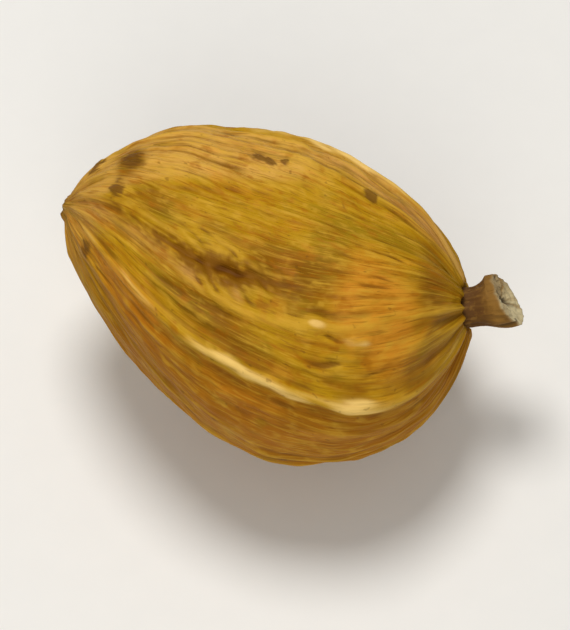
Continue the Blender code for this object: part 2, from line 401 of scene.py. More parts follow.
def colour_setting(name, description, code):
    """A colour that a user would change, with an sRGB hex value as its default."""
    return FloatVectorProperty(
        name=name,
        description=description,
        default=linear(code),
        size=3,
        subtype="COLOR",
        min=0.0,
        max=1.0,
    )


def length_setting(name, description, default):
    """A length in metres that a user would change."""
    return FloatProperty(
        name=name,
        description=description,
        default=default,
        unit="LENGTH",
        min=0.0,
        precision=6,
    )


class HuskSettings(bpy.types.PropertyGroup):
    """Sizes and colours of the husk."""

    radius: length_setting("Radius", "Mean radius where the husk is thickest", 0.00472)
    seam_height: length_setting("Seam height", "How far a seam stands up", 0.00016)
    seam_width: length_setting("Seam width", "Half the width of a seam", 0.00016)
    seam_groove: length_setting("Seam groove", "Depth of the grooves beside a seam", 0.00004)
    rib_height: length_setting("Rib height", "Height of the tallest ribs", 0.000105)
    crease_depth: length_setting("Crease depth", "Depth of the shrinkage crease", 0.00020)
    rib_crest: length_setting("Rib crest", "Height of the thin line along each rib", 0.000045)
    vein_height: length_setting("Vein height", "Height of the fine veins", 0.000045)
    crumple_height: length_setting("Crumple height", "Height of the paper's folds", 0.00005)
    wrinkle_height: length_setting("Wrinkle height", "Height of small wrinkles", 0.00004)
    columns: IntProperty(
        name="Columns", description="Mesh points around the husk", default=600, min=60
    )
    rings: IntProperty(
        name="Rings", description="Mesh rings along the husk", default=162, min=40
    )
    face_colour: colour_setting("Face", "Dry olive ochre of the faces", "#b3870b")
    # Tan: the shoulder's paler tone, partly a painted highlight on the shoulder and rim
    tan_and_highlight_colour: colour_setting("Tan", "Paler tan of the rounded shoulder", "#d6a44c")
    olive_colour: colour_setting("Olive", "Greener patches of the face", "#8b700a")
    orange_colour: colour_setting("Orange", "Orange ochre near the stalk", "#cc8725")
    # Shade: the faces' browner tone, and also painted shade on the low face and in grooves
    browner_and_shade_colour: colour_setting("Shade", "Browner parts of the faces", "#a06004")
    brown_colour: colour_setting("Brown", "Brown stains of the old husk", "#7a4e07")
    # Groove: dark brown of the creases, also used as painted shade in grooves, creases, folds and the
    # dip round the stub
    groove_brown_and_shade_colour: colour_setting("Groove", "Dark brown in grooves and creases", "#5c3404")
    ridge_colour: colour_setting("Ridge", "Worn, paler tops of the ribs", "#ca9d30")
    # Seam: the seams' pale straw, partly a painted highlight along their raised crests
    seam_and_highlight_colour: colour_setting("Seam", "Pale straw of the seams", "#f2cc78")
    # Knuckle: a painted highlight on the worn bumps, partly their paler worn tops
    painted_highlight_colour: colour_setting("Knuckle", "Bright worn bump beside the crease", "#e9c071")
    lip_colour: colour_setting("Lip", "Pinkish inner layer beside the crease", "#be8850")
    scar_colour: colour_setting("Scar", "Brown of the tip and the small marks", "#65400f")


class StubSettings(bpy.types.PropertyGroup):
    """Sizes and colours of the stalk stub."""

    knob_radius: length_setting("Knob radius", "Radius of the stub's thick end", 0.00080)
    hollow_depth: length_setting("Hollow depth", "Depth of the hollow in its end", 0.00022)
    fibre_height: length_setting("Fibre height", "Height of its lengthwise fibres", 0.00005)
    columns: IntProperty(
        name="Columns", description="Mesh points around the stub", default=200, min=24
    )
    rings: IntProperty(name="Rings", description="Mesh rings along the stub", default=120, min=24)
    bark_colour: colour_setting("Bark", "Brown skin of the neck", "#5a3705")
    wood_colour: colour_setting("Wood", "Dry fibre of the knob", "#87601e")
    end_colour: colour_setting("End", "Pale broken end", "#cebf94")
    # Slit: the pith's dark, also used as painted shade in the slit and the splits
    slit_shade_colour: colour_setting("Slit", "Dark hollow in the end", "#3a2811")


class StageSettings(bpy.types.PropertyGroup):
    """Floor, light and camera."""

    floor_colour: colour_setting("Floor", "Pale plain floor", "#efefed")
    azimuth: FloatProperty(
        name="Azimuth",
        description="The camera's turn from the front",
        default=math.radians(13),
        subtype="ANGLE",
    )
    elevation: FloatProperty(
        name="Elevation",
        description="The camera's height above level",
        default=math.radians(60),
        subtype="ANGLE",
    )
    key_power: FloatProperty(
        name="Key light", description="Power of the main light", default=0.070, min=0.0, unit="POWER"
    )
    fill_power: FloatProperty(
        name="Fill light", description="Power of the side light", default=0.045, min=0.0, unit="POWER"
    )


def bump(distance, width):
    """A smooth hump of height 1 at distance 0."""
    return np.exp(-((distance / width) ** 2))


def turned(angle):
    """The same angle, between minus and plus half a turn."""
    return (angle + math.pi) % (2 * math.pi) - math.pi


def eased(value):
    """0 below 0, 1 above 1, and smooth between."""
    value = np.clip(value, 0.0, 1.0)
    return value * value * (3 - 2 * value)


def round_end(distance, radius, dome, power=2):
    """The radius of a rod with a domed end, at this distance from the end."""
    left = np.clip(1 - distance / dome, 0.0, 1.0)
    return radius * np.clip(1 - left**power, 0.0, None) ** (1 / power)


def noise_at(points, size, shift=0.0):
    """Soft noise at each point, between about -1 and 1, with lumps of this size."""
    places = (points / np.array(size) + shift).reshape(-1, 3)
    return np.array([noise.noise(place) for place in places.tolist()]).reshape(points.shape[:-1])


def outline_radius(along, husk):
    """The husk's mean radius at this distance from its tip."""
    share = (along - NOSE_LENGTH) / (HUSK_LENGTH - NOSE_LENGTH - COLLAR_LENGTH)
    share = np.clip(share, 0.0, 1.0)
    peak = TIP_POWER / (TIP_POWER + STALK_POWER)
    egg = husk.radius * (share / peak) ** TIP_POWER * ((1 - share) / (1 - peak)) ** STALK_POWER
    tip_end = round_end(along, NOSE_RADIUS, NOSE_RADIUS)
    stalk_end = round_end(HUSK_LENGTH - along, COLLAR_RADIUS, COLLAR_DOME, power=3)
    end = np.where(along < HUSK_LENGTH / 2, tip_end, stalk_end)
    return (egg**OUTLINE_BLEND + end**OUTLINE_BLEND) ** (1 / OUTLINE_BLEND)


def grow_ribs(rib_height):
    """The ribs' places, heights and sways, drawn once: (angle, height, sway, beat, phase)."""
    draw = random.Random(RIB_SEED)
    ribs = []
    room = CORNER_ANGLE - 2 * RIB_MARGIN
    for face in range(CORNERS):
        for number in range(RIBS_PER_FACE):
            angle = face * CORNER_ANGLE + RIB_MARGIN + room * number / (RIBS_PER_FACE - 1)
            angle += draw.uniform(-RIB_JITTER, RIB_JITTER)
            height = rib_height * draw.uniform(0.45, 1.0)
            sway = RIB_SWAY * draw.uniform(0.3, 1.0)
            ribs.append((angle, height, sway, draw.uniform(0.6, 1.5), draw.uniform(0, 1)))
    return ribs


def flow_angle(angle, share):
    """The angle that ribs, seams and fibres follow at this place on the husk."""
    drift = np.maximum(0.0, TWIST * (share - 0.5) + FACE_DRIFT)
    on_face = bump(turned(angle - FACE_ANGLE), FACE_WIDTH)
    on_seam = bump(turned(angle), SEAM_DRIFT_WIDTH)
    on_seam = on_seam * bump(share - SEAM_DRIFT_PLACE, SEAM_DRIFT_LENGTH)
    return angle + drift * on_face + SEAM_DRIFT * on_seam


def angle_of(flow, share):
    """The angle on each ring that has this flow angle, so that mesh columns run with the ribs."""
    steps = np.linspace(-math.pi, math.pi, 1441)
    rows = [np.interp(row, flow_angle(steps, place), steps) for row, place in zip(flow, share[:, 0])]
    return np.array(rows)


def rib_relief(angle, share, husk):
    """Ribs run from end to end, swaying a little, and stand out most on the stalk's half.

    Returns their height, and the thin crest line along each of them.
    """
    strength = 0.55 + 0.45 * eased((share - 0.25) / 0.45)
    raised = np.zeros_like(angle)
    crest = np.zeros_like(angle)
    for base, height, sway, beat, phase in grow_ribs(husk.rib_height):
        centre = base + sway * np.sin(2 * math.pi * (beat * share + phase))
        aside = turned(angle - centre)
        raised += height * bump(aside, RIB_WIDTH)
        crest += height / husk.rib_height * bump(aside, RIB_CREST_WIDTH)
    return strength * raised, crest


def fine_veins(angle, share, grain):
    """Thin veins between the ribs, each over a part of the husk's length only."""
    draw = random.Random(VEIN_SEED)
    raised = np.zeros_like(angle)
    for number in range(VEINS):
        base = 2 * math.pi * (number + draw.uniform(-0.4, 0.4)) / VEINS
        middle = draw.uniform(0.1, 0.9)
        half = draw.uniform(0.15, 0.40)
        sway = math.radians(draw.uniform(0.5, 1.8))
        phase = draw.uniform(0, 6)
        centre = base + sway * np.sin(9 * share + phase)
        height = draw.uniform(0.4, 1.0)
        raised += height * bump(turned(angle - centre), VEIN_WIDTH) * bump(share - middle, half)
    gaps = 0.8 + 0.9 * noise_at(grain, *VEIN_GAP_NOISE)
    return raised * np.clip(gaps, 0.1, 1.3)


def seam_relief(arcs, husk):
    """A raised seam on each corner, with a groove along both sides of it."""
    raised = 0.0
    for arc in arcs:
        raised = raised + husk.seam_height * bump(arc, husk.seam_width)
        raised = raised - husk.seam_groove * bump(np.abs(arc) - GROOVE_OFFSET, husk.seam_width)
    return raised


def crease_centre(share):
    """The angle of the shrinkage crease, which swings away from the low seam."""
    swing = eased((share - CREASE_SWING_START) / CREASE_SWING_LENGTH)
    return CREASE_ANGLE + CREASE_SWING * swing


def crease_lines(angle, share, radius):
    """Distance across the shrinkage crease, and how strong the crease is there."""
    along = eased((share - CREASE_START) / CREASE_FADE_IN)
    along = along * eased((CREASE_END - share) / CREASE_FADE_OUT)
    return turned(angle - crease_centre(share)) * radius, along


def panel_edge(share):
    """The angle of the rounded edge above the sunken part of the face."""
    opened = 1 - np.exp(-np.maximum(0.0, share - PANEL_START) / PANEL_OPENING)
    return PANEL_EDGE + PANEL_SPREAD * opened


def panel_sunk(angle, share):
    """How far the face that shows has sunk, between the crease and its rounded edge."""
    sunk = eased(turned(crease_centre(share) - angle) / PANEL_CREASE_EASE)
    sunk = sunk * eased(turned(angle - panel_edge(share)) / PANEL_EDGE_EASE)
    sunk = sunk * eased((share - PANEL_START) / PANEL_FADE_IN)
    return sunk * eased((PANEL_END - share) / PANEL_FADE_OUT)


def seed_relief(angle, share):
    """Soft bumps where the two rows of seeds behind each seam press on the husk."""
    raised = np.zeros_like(angle)
    for corner in range(CORNERS):
        for side in (-1, 1):
            centre = corner * CORNER_ANGLE + side * SEED_ANGLE
            across = bump(turned(angle - centre), SEED_SIZE_AROUND)
            for number in range(SEEDS_PER_ROW):
                place = SEED_START + SEED_SPACING * (number + SEED_STAGGER * (side + 1))
                raised += SEED_BULGE * across * bump(share - place, SEED_SIZE_ALONG)
    return raised


def even_rings(rings, husk):
    """Shares of the husk's length that lie evenly along its outline, from pole to pole."""
    share = (1 - np.cos(np.linspace(0, math.pi, 4001))) / 2
    along = HUSK_LENGTH * share
    radius = outline_radius(along, husk)
    steps = np.hypot(np.diff(along), np.diff(radius))
    travelled = np.concatenate([[0.0], np.cumsum(steps)])
    return np.interp(np.linspace(0, travelled[-1], rings + 1), travelled, share)


def bent(share, reach, angle):
    """The point at this reach from the pod's middle line, twisted, leaned and bowed."""
    turn = angle + TWIST * (share - 0.5)
    lean = LEAN * share**LEAN_POWER * reach * np.cos(turn - BELLY_ANGLE)
    bow = BOW * np.sin(math.pi * share**BOW_SKEW)
    return np.stack(
        [
            HUSK_LENGTH * share + lean,
            reach * np.cos(turn) + bow * math.cos(BELLY_ANGLE),
            reach * np.sin(turn) + bow * math.sin(BELLY_ANGLE),
        ],
        axis=-1,
    )


def outward(points):
    """Unit normals of a grid of rings, pointing out of it."""
    around = np.roll(points, -1, axis=1) - np.roll(points, 1, axis=1)
    along = np.gradient(points, axis=0)
    normal = np.cross(along, around)
    length = np.linalg.norm(normal, axis=-1, keepdims=True)
    normal = normal / np.maximum(length, 1e-12)
    middle = points.mean(axis=(0, 1))
    return normal if np.sum(normal * (points - middle)) > 0 else -normal


def local_mean(values, width):
    """The mean over this many points around each ring, for telling ridge from groove."""
    wrapped = np.concatenate([values[:, -width:], values, values[:, :width]], axis=1)
    total = np.cumsum(wrapped, axis=1)
    span = 2 * width
    mean = (total[:, span:] - total[:, :-span]) / span
    return mean[:, : values.shape[1]]


def ring_mesh(name, points, values):
    """A closed mesh from rings of points; its first and last rings shrink to a pole each."""
    rings, columns = points.shape[:2]
    flat = points.reshape(-1, 3)
    poles = np.array([points[0].mean(axis=0), points[-1].mean(axis=0)])
    last = rings * columns
    start = np.arange(rings - 1)[:, None] * columns
    here = np.arange(columns)[None, :]
    after = (here + 1) % columns
    quads = np.stack(
        [start + here, start + after, start + columns + after, start + columns + here], axis=-1
    ).reshape(-1, 4)
    here, after = here[0], after[0]
    top = last - columns
    first_fan = np.stack([np.full(columns, last), after, here], axis=-1)
    last_fan = np.stack([np.full(columns, last + 1), top + here, top + after], axis=-1)
    mesh = bpy.data.meshes.new(name)
    faces = quads.tolist() + first_fan.tolist() + last_fan.tolist()
    mesh.from_pydata(np.concatenate([flat, poles]).tolist(), [], faces)
    for title, value in values.items():
        if value.ndim == 2:
            ends = [value[0].mean(), value[-1].mean()]
            data = mesh.attributes.new(title, "FLOAT", "POINT").data
            data.foreach_set("value", np.concatenate([value.ravel(), ends]))
        else:
            ends = [value[0].mean(axis=0), value[-1].mean(axis=0)]
            data = mesh.attributes.new(title, "FLOAT_VECTOR", "POINT").data
            data.foreach_set("vector", np.concatenate([value.reshape(-1, 3), ends]).ravel())
    mesh.shade_smooth()
    mesh.update()
    return mesh


def in_frame(points, matrix):
    """These points of the pod's own axes, in the frame."""
    turn = np.array(matrix.to_3x3())
    return points @ turn.T + np.array(matrix.translation)


def pod_axes():
    """The pod's own axes in the frame: X from the tip's middle to the stalk end."""
    return Matrix.Translation(AXES_PLACE) @ AXES_TURN.to_matrix().to_4x4()


def stalk_direction():
    """The way the stub points, in the pod's own axes: out of the stalk end, tilted to one side."""
    aside = math.sin(STUB_TILT)
    return Vector(
        (
            math.cos(STUB_TILT),
            aside * math.cos(STUB_TILT_ANGLE),
            aside * math.sin(STUB_TILT_ANGLE),
        )
    )


def collar_axes():
    """The stub's axes in the pod's own: from the collar's middle, with X the way it points."""
    turn = stalk_direction().to_track_quat("X", "Z").to_matrix().to_4x4()
    return Matrix.Translation((HUSK_LENGTH, 0, 0)) @ turn


def husk_grid(husk):
    """The share of the length and the flow angle of each mesh point, ring by ring."""
    return np.meshgrid(
        even_rings(husk.rings, husk)[1:-1],
        np.linspace(-math.pi, math.pi, husk.columns, endpoint=False),
        indexing="ij",
    )


def swept_by_noise(grain):
    """The same grain, wandering to both sides, so that fibres aren't ruled lines."""
    wander = GRAIN_WANDER * noise_at(grain, *WANDER_NOISE)
    return grain + np.stack([wander, wander, np.zeros_like(wander)], axis=-1)


def torn_tip(place, reach, along):
    """How far the blunt tip stands out: a torn rim round a shallow pit, where the flower fell off."""
    torn = 0.6 + noise_at(place, *TORN_RIM_NOISE) + 0.5 * noise_at(place, *TORN_BITS_NOISE)
    near_tip = eased((TORN_LENGTH - along) / TORN_FADE)
    rim = np.clip(torn, 0.0, 1.3) * bump(reach - RIM_RADIUS, RIM_WIDTH)
    pit = bump(reach, PIT_RADIUS)
    return TIP_ROUGHNESS * near_tip * (rim - 0.9 * pit)


def collar_dip(points):
    """How far each point lies in the dip where the stub stands, from 0 to 1."""
    collar = np.array(collar_axes().inverted())
    local = points @ collar[:3, :3].T + collar[:3, 3]
    off = np.hypot(local[..., 1], local[..., 2])
    return (1 - eased((off - DIP_RADIUS) / DIP_EDGE)) * (local[..., 0] > DIP_BACK)


def groove_masks(total, columns):
    """Where this relief is groove or ridge, against a narrow and a broad stretch of its ring. Grooves
    get painted shade, partly the husk's own darker valleys, and ridges a paler tone, partly painted
    highlight.
    """
    cavity = (total - local_mean(total, columns // CAVITY_PARTS)) / CAVITY_HEIGHT
    broad = (total - local_mean(total, columns // BROAD_PARTS)) / BROAD_HEIGHT
    return {"cavity": np.clip(cavity, -1.5, 1.5), "broad": np.clip(broad, -1.5, 1.5)}


def shaded_low_face(flow, share):
    """Where the face below the low seam lies, which turns away from the light: it is painted browner,
    partly its own tone and partly painted shade.
    """
    past = turned(flow)
    low = eased(past / math.radians(5)) * eased((CORNER_ANGLE - past) / math.radians(8))
    return low * (0.4 + 0.6 * eased((share - 0.08) / 0.20))


def husk_surface(husk):
    """The husk's points in the frame, and what its material reads at each of them."""
    share, flow = husk_grid(husk)
    angle = angle_of(flow, share)
    along = HUSK_LENGTH * share
    radius = outline_radius(along, husk)
    fullness = eased(radius / husk.radius)
    section = TRIANGULARITY * np.cos(CORNERS * flow) + SHARPNESS * np.cos(2 * CORNERS * flow)
    reach = radius * (1 + fullness * section)
    arcs = [turned(flow - corner * CORNER_ANGLE) * radius for corner in range(CORNERS)]
    across, crease = crease_lines(angle, share, radius)
    sunk = panel_sunk(angle, share)

    # The grain runs with the husk: across it on a circle of constant size, and along it
    grain = np.stack([husk.radius * np.cos(flow), husk.radius * np.sin(flow), along], axis=-1)
    swept = swept_by_noise(grain)

    # The forms that the fixed model has too
    ribs, rib_crest = rib_relief(flow, share, husk)
    broken = np.clip(0.72 + 1.2 * noise_at(grain, *BROKEN_RIB_NOISE), 0.15, 1.2)
    seams = seam_relief(arcs, husk)
    relief = ribs * broken + seams
    deeper = 0.45 + 0.55 * bump(share - CREASE_DEEPEST, 0.14)
    relief -= husk.crease_depth * deeper * crease * bump(across, CREASE_WIDTH)
    relief -= PANEL_DEPTH * sunk
    relief += seed_relief(flow, share)
    place = np.stack([along, reach * np.cos(angle), reach * np.sin(angle)], axis=-1)
    relief += DENT_DEPTH * noise_at(place, DENT_SIZE)
    points = bent(share, reach + fullness * relief, angle)

    # The finer ones, which are calmer on the sunken part of the face and fade out at the poles
    calm = 1 - 0.45 * sunk
    fine, masks = fine_relief(husk, share, angle, arcs, across, crease, swept, calm)
    worn = np.clip(0.75 + 1.1 * noise_at(grain, *WORN_RIB_NOISE), 0.1, 1.3)
    beside_crease = crease * bump(across - RIB_GAP_OFFSET, RIB_GAP_WIDTH)
    lines = rib_crest * worn * broken * (1 - 0.7 * beside_crease)
    veins = fine_veins(flow, share, swept)
    fine += husk.rib_crest * lines + 0.5 * husk.rib_crest * veins
    masks["rib"] = np.clip(lines + 0.6 * veins, 0, 1)
    ends = eased(radius / (0.30 * husk.radius))
    points = points + outward(points) * (ends * fine)[..., None]
    points[..., 0] -= torn_tip(place, reach, along)
    dip = collar_dip(points)
    points = points - DIP_DEPTH * dip[..., None] * np.array(stalk_direction())

    points = in_frame(points, pod_axes())
    points[..., 2] = np.maximum(points[..., 2], 0.0)

    total = fullness * (relief - 0.7 * seams) + ends * fine
    masks.update(groove_masks(total, husk.columns))
    # Painted shade: the low face, turned away from the light, is painted browner and darker
    masks["low"] = shaded_low_face(flow, share)
    masks.update(tones(angle, share))
    # The dip is also painted dark, as shade where the stub stands in the husk
    masks["dip"] = dip
    masks["grain"] = swept / MM
    return points, masks


def wander_phase(angle):
    """A slow, closed wander around the ring, so that folds are unevenly spaced."""
    return 0.30 * np.sin(angle + 0.7) + 0.18 * np.sin(2 * angle + 2.1) + 0.10 * np.sin(5 * angle)


def spots(angle, share, places, edge):
    """Where these spots lie; each is (share, degrees, half length in share, half width in degrees)."""
    found = np.zeros_like(share)
    for place, degrees, length, width in places:
        aside = turned(angle - math.radians(degrees)) / math.radians(width)
        gap = np.hypot(aside, (share - place) / length)
        found = np.maximum(found, eased((1.25 + edge - gap) / 0.9))
    return found


def patches(angle, share, places):
    """Soft patches; each is (share, degrees, half length in share, half width in degrees, height)."""
    found = np.zeros_like(share)
    for place, degrees, length, width, height in places:
        aside = turned(angle - math.radians(degrees)) / math.radians(width)
        found += height * bump(aside, 1.0) * bump(share - place, length)
    return found


def tones(angle, share):
    """Where the broad colours lie: tan on the shoulder and rim, partly painted highlight where the
    light falls from above, and the orange to pink marks.
    """
    shoulder = eased(turned(panel_edge(share) + math.radians(4) - angle) / math.radians(10))
    shoulder = shoulder * eased((turned(angle) + CORNER_ANGLE) / math.radians(8))
    shoulder = shoulder * eased((0.75 - share) / 0.25)
    tip_tan = 0.7 * eased((0.13 - share) / 0.06)
    masks = {"tan": shoulder + tip_tan + patches(angle, share, RIM_TAN_AND_HIGHLIGHT_MARKS)}
    for name, places in TONE_MARKS.items():
        masks[name] = patches(angle, share, places)
    return {name: np.clip(mask, 0, 1) for name, mask in masks.items()}


def paper_relief(husk, grain):
    """Long veins, threads, crumples and cross wrinkles of the dry paper."""
    vein = np.clip(0.55 - 1.9 * np.abs(noise_at(grain, *LONG_VEIN_NOISE)), -0.4, 0.6)
    thin = noise_at(grain, *THREAD_NOISE)
    patchy = eased(0.5 + 1.2 * noise_at(grain, *PATCHY_NOISE))
    fine = husk.vein_height * (0.8 * vein * (0.4 + patchy) + 0.4 * thin)
    crumple = 0.45 - 2.0 * np.abs(noise_at(grain, *CRUMPLE_NOISE))
    crumple += 0.5 * (0.45 - 2.0 * np.abs(noise_at(grain, *SMALL_CRUMPLE_NOISE)))
    fine += husk.crumple_height * np.clip(crumple, -0.9, 0.6)
    across_wrinkle = noise_at(grain, *WRINKLE_NOISE)
    wrinkled = eased(0.15 + 1.5 * noise_at(grain, *WRINKLED_NOISE))
    fine += husk.wrinkle_height * wrinkled * across_wrinkle
    return fine


def crease_relief(share, across, crease, grain, ragged):
    """The ragged crease with a lip along both sides, deepest near its middle.

    Returns its relief, how dark its floor is painted, partly its brown and partly painted shade, and
    where it has stained the paper.
    """
    shifted = across + CREASE_WAVER * noise_at(grain, *CREASE_WAVER_NOISE)
    deepest = 0.30 + 0.70 * bump(share - CREASE_DEEPEST, 0.12)
    floor = bump(shifted, CREASE_FLOOR_WIDTH) * crease * np.clip(ragged, 0.15, 1.4) * deepest
    lips = bump(np.abs(shifted) - LIP_OFFSET, LIP_WIDTH) * crease * np.clip(ragged, 0.2, 1.2)
    dark = floor * (0.35 + 0.65 * deepest)
    stained = crease * deepest * bump(shifted, STAIN_WIDTH)
    return LIP_HEIGHT * lips - CREASE_FLOOR_DEPTH * floor, dark, stained


def fold_relief(share, angle, grain, ragged):
    """The relief of the short folds, and how deep in one each point lies."""
    folds = np.zeros_like(share)
    edges = np.zeros_like(share)
    uneven = FOLD_WAVER * noise_at(grain, *FOLD_WAVER_NOISE)
    for place, degrees, length, slant, depth in SHORT_FOLDS:
        aside = turned(angle - np.radians(degrees + slant * (share - place)) - uneven)
        strength = depth * bump(share - place, length)
        folds += strength * bump(aside, FOLD_WIDTH)
        edges += strength * bump(np.abs(aside) - FOLD_EDGE_OFFSET, FOLD_EDGE_WIDTH)
    folds = folds * np.clip(ragged, 0.2, 1.3)
    return FOLD_EDGE_HEIGHT * edges - FOLD_DEPTH * folds, folds


def step_relief(angle, share):
    """The small step below the rounded shoulder, where the sunken part of the face starts."""
    step = bump(turned(angle - panel_edge(share)) - STEP_OFFSET, STEP_WIDTH)
    step = step * eased((share - PANEL_START) / STEP_FADE_IN)
    return step * eased((STEP_END - share) / STEP_FADE_OUT)


def seam_crests(share, arcs, grain):
    """Each seam's thin crest, which wavers and is faint at both ends, and the line beside it; both are
    painted pale, partly the seam's straw and partly painted highlight.
    """
    shown = (0.3 + 0.7 * eased((share - 0.38) / 0.16)) * (1 - 0.75 * eased((share - 0.83) / 0.11))
    crest = np.zeros_like(share)
    beside = np.zeros_like(share)
    for number, arc in enumerate(arcs):
        waver = CREST_WAVER * np.sin(23 * share + 2.1 * number) + CREST_SHIVER * np.sin(61 * share)
        crest += bump(arc - waver, CREST_WIDTH + CREST_WIDTH * shown)
        beside += bump(np.abs(arc + waver) - SIDE_LINE_OFFSET, SIDE_LINE_WIDTH)
    worn = 0.75 + 0.7 * noise_at(grain, *WORN_SEAM_NOISE)
    fibrous = 1.00 + 0.7 * noise_at(grain, *SEAM_FIBRE_NOISE)
    return crest * (0.2 + 0.8 * shown) * np.clip(worn * fibrous, 0.3, 1.2), beside


def fine_relief(husk, share, angle, arcs, across, crease, grain, calm):
    """What the fixed model is too coarse for: veins, wrinkles, lips, scars and the pucker."""
    fine = calm * paper_relief(husk, grain)
    fine += SWELL_HEIGHT * noise_at(grain, *SWELL_NOISE)

    ragged = 0.65 + 1.5 * noise_at(grain, *RAGGED_NOISE)
    creased, dark, stained = crease_relief(share, across, crease, grain, ragged)
    fine += creased
    folded, folds = fold_relief(share, angle, grain, ragged)
    fine += folded

    # The knuckles stand up, and also carry a painted highlight
    highlit_knuckle = patches(angle, share, WORN_BUMPS)
    fine += BUMP_HEIGHT * np.clip(highlit_knuckle, 0, 1)
    frayed = 0.75 + 1.3 * noise_at(grain, *FRAYED_NOISE)
    highlit_knuckle = highlit_knuckle * np.clip(frayed, 0.1, 1.2)

    fine -= STEP_DEPTH * step_relief(angle, share)
    crest, beside = seam_crests(share, arcs, grain)
    fine += CREST_HEIGHT * crest + SIDE_LINE_HEIGHT * beside

    edge = 0.55 * noise_at(grain, *FLAKE_EDGE_NOISE)
    edge += 0.55 * noise_at(grain, *FLAKE_RAG_NOISE)
    flake = spots(angle, share, FLAKES, edge)
    fine += FLAKE_HEIGHT * flake * (0.4 + 1.6 * np.abs(edge))

    # Both ends are drawn together in folds, and the tip keeps a rough scar
    tip = bump(share, TIP_PUCKER_LENGTH)
    tip_folds = np.cos(TIP_PUCKERS * angle + 9 * wander_phase(angle))
    fine += PUCKER_HEIGHT * tip * eased(share / 0.02) * tip_folds
    stalk = bump(1 - share, STALK_PUCKER_LENGTH)
    fine += PUCKER_HEIGHT * stalk * np.cos(STALK_PUCKERS * angle + 7 * wander_phase(angle + 2.0))
    fine += SCAR_HEIGHT * bump(share, 0.03) * noise_at(grain, *SCAR_NOISE)

    masks = {
        "seam": np.clip(crest + 0.2 * beside, 0, 1),
        # Painted shade, partly dark brown: the crease's floor and the hollows of the folds
        "crease": np.clip(dark + 0.1 * folds, 0, 1),
        "stain": np.clip(stained * (0.9 + 1.4 * edge), 0, 1),
        "flake": flake,
        "scar": np.clip(bump(share, 0.024) * (0.8 + edge), 0, 1),
        "highlit_knuckle": np.clip(highlit_knuckle, 0, 1),
    }
    return fine, masks


def add_node(tree, kind, inputs=None, **settings):
    """Adds a node. Each input takes a plain value, or an output of another node to link."""
    node = tree.nodes.new(kind)
    for name, value in settings.items():
        setattr(node, name, value)
    for key, value in (inputs or {}).items():
        sockets = [s for s in node.inputs if s.identifier == key]
        socket = sockets[0] if sockets else node.inputs[key]
        if isinstance(value, bpy.types.NodeSocket):
            tree.links.new(value, socket)
        else:
            socket.default_value = value
    return node


def new_material(name):
    """An empty material with one Principled shader joined to its output."""
    material = bpy.data.materials.new(name)
    material.use_nodes = True
    tree = material.node_tree
    tree.nodes.clear()
    shader = add_node(tree, "ShaderNodeBsdfPrincipled")
    add_node(tree, "ShaderNodeOutputMaterial", {"Surface": shader.outputs["BSDF"]})
    return material, tree, shader


def opaque(colour):
    """This colour with full cover, as colour sockets take it."""
    return (*colour, 1.0)


def painted(tree, read, colour, layers):
    """Lays colours over each other, and returns the last mix.

    Each layer is what it reads, where it begins and is full, its amount, and its colour.
    """
    for name, begins, full, amount, tone in layers:
        where = add_node(
            tree,
            "ShaderNodeMapRange",
            {"Value": read[name], "From Min": begins, "From Max": full, "To Max": amount},
            interpolation_type="SMOOTHSTEP",
        )
        mix = add_node(
            tree,
            "ShaderNodeMix",
            {"Factor_Float": where.outputs["Result"], "A_Color": colour, "B_Color": opaque(tone)},
            data_type="RGBA",
            clamp_factor=True,
        )
        colour = mix.outputs[2]
    return colour


def read_surface(tree, names, grains):
    """What a surface reads: its mesh's own values, and noises that follow its grain.

    Each noise is its name, its lumps' size in millimetres around and along the grain, and detail.
    """
    read = {}
    for name in names:
        read[name] = add_node(tree, "ShaderNodeAttribute", attribute_name=name).outputs["Fac"]
    grain = add_node(tree, "ShaderNodeAttribute", attribute_name="grain").outputs["Vector"]
    for name, around, lengthwise, detail in grains:
        scaled = add_node(
            tree,
            "ShaderNodeVectorMath",
            {"Vector": grain, "Vector_001": (1 / around, 1 / around, 1 / lengthwise)},
            operation="MULTIPLY",
        )
        texture = add_node(
            tree,
            "ShaderNodeTexNoise",
            {"Vector": scaled.outputs["Vector"], "Scale": 1.0, "Detail": detail, "Roughness": 0.55},
        )
        read[name] = texture.outputs["Fac"]
    return read


